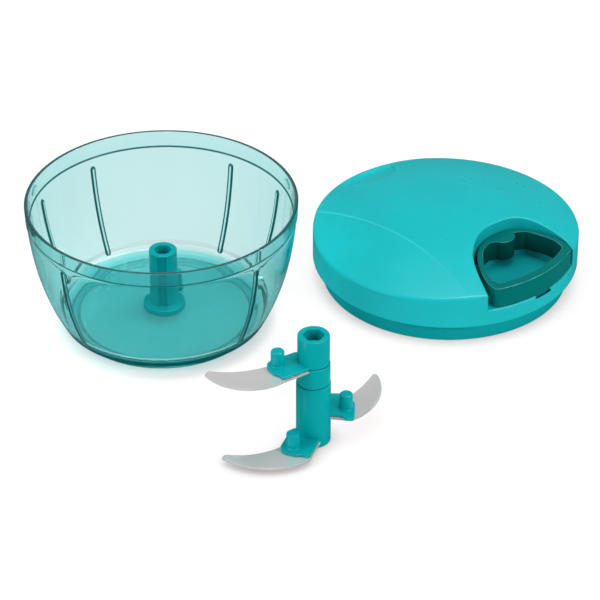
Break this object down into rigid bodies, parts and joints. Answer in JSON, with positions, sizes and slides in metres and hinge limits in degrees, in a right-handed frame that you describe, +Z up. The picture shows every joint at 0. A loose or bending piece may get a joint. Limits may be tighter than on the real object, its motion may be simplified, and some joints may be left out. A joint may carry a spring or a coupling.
{
  "type": "pull-cord food chopper",
  "caption": "Hand-pulled food chopper taken apart: clear bowl with a centre post, domed lid with a loop pull handle parked in its recess, and an upright blade unit with curved blades.",
  "frame": {"origin": "on the table, under the middle of the whole set's bounding box", "axes": "+Z up, +X towards the lid's side (bowl on the left, lid on the right), -Y towards the blade unit and the viewer"},
  "size_m": [0.2463, 0.215, 0.0611],
  "materials": {
    "clear_teal": "clear tinted, polished",
    "teal_plastic": "moulded, satin",
    "lid_teal": "moulded, fine satin",
    "base_teal": "moulded, satin",
    "handle_green": "moulded, semi-gloss",
    "blade_steel": "brushed, bevelled edge",
    "screw_steel": "plain",
    "bush_brass": "plain",
    "white_nylon": "moulded",
    "cord_nylon": "braided"
  },
  "bodies": {
    "bowl": {"bowl": "clear_teal", "centre_post": "teal_plastic", "post_peg": "teal_plastic"},
    "lid": {"lid_cover": "lid_teal", "lid_base": "base_teal", "lid_screw_1": "screw_steel", "lid_screw_2": "screw_steel", "lid_screw_3": "screw_steel", "lid_screw_4": "screw_steel", "cord_guide": "white_nylon", "shaft_bush": "bush_brass"},
    "handle": {"pull_handle": "handle_green", "pull_cord": "cord_nylon", "cord_knot": "cord_nylon"},
    "reel": {"reel": "white_nylon", "reel_flange": "white_nylon", "wound_cord": "cord_nylon", "mainspring": "screw_steel", "drive_shaft": "white_nylon", "shaft_washer": "screw_steel", "shaft_screw": "screw_steel"},
    "blade_unit": {"hub_lower": "teal_plastic", "hub_middle": "teal_plastic", "hub_upper": "teal_plastic", "blade_lower": "blade_steel", "blade_middle": "blade_steel", "blade_upper": "blade_steel"}
  },
  "joints": [
    {"name": "lid_lift", "type": "slide", "parent": "bowl", "child": "lid", "axis": [0, 0, 1], "range_m": [0, 0.1]},
    {"name": "handle_pull", "type": "slide", "parent": "lid", "child": "handle", "axis": [0.6691, -0.7431, 0], "range_m": [0, 0.25], "stiffness_N_per_m": 12, "springref_m": -0.15},
    {"name": "reel_spin", "type": "hinge", "parent": "lid", "child": "reel", "pos_m": [0.0629, 0.0472, 0.02], "axis": [0, 0, 1], "range_deg": [-1352, 0]},
    {"name": "blade_spin", "type": "hinge", "parent": "bowl", "child": "blade_unit", "pos_m": [0.0026, -0.0815, 0], "axis": [0, 0, 1], "continuous": true}
  ],
  "couplings": [
    {"joint": "reel_spin", "follows": "handle_pull", "rad_per_m": -94.34}
  ]
}
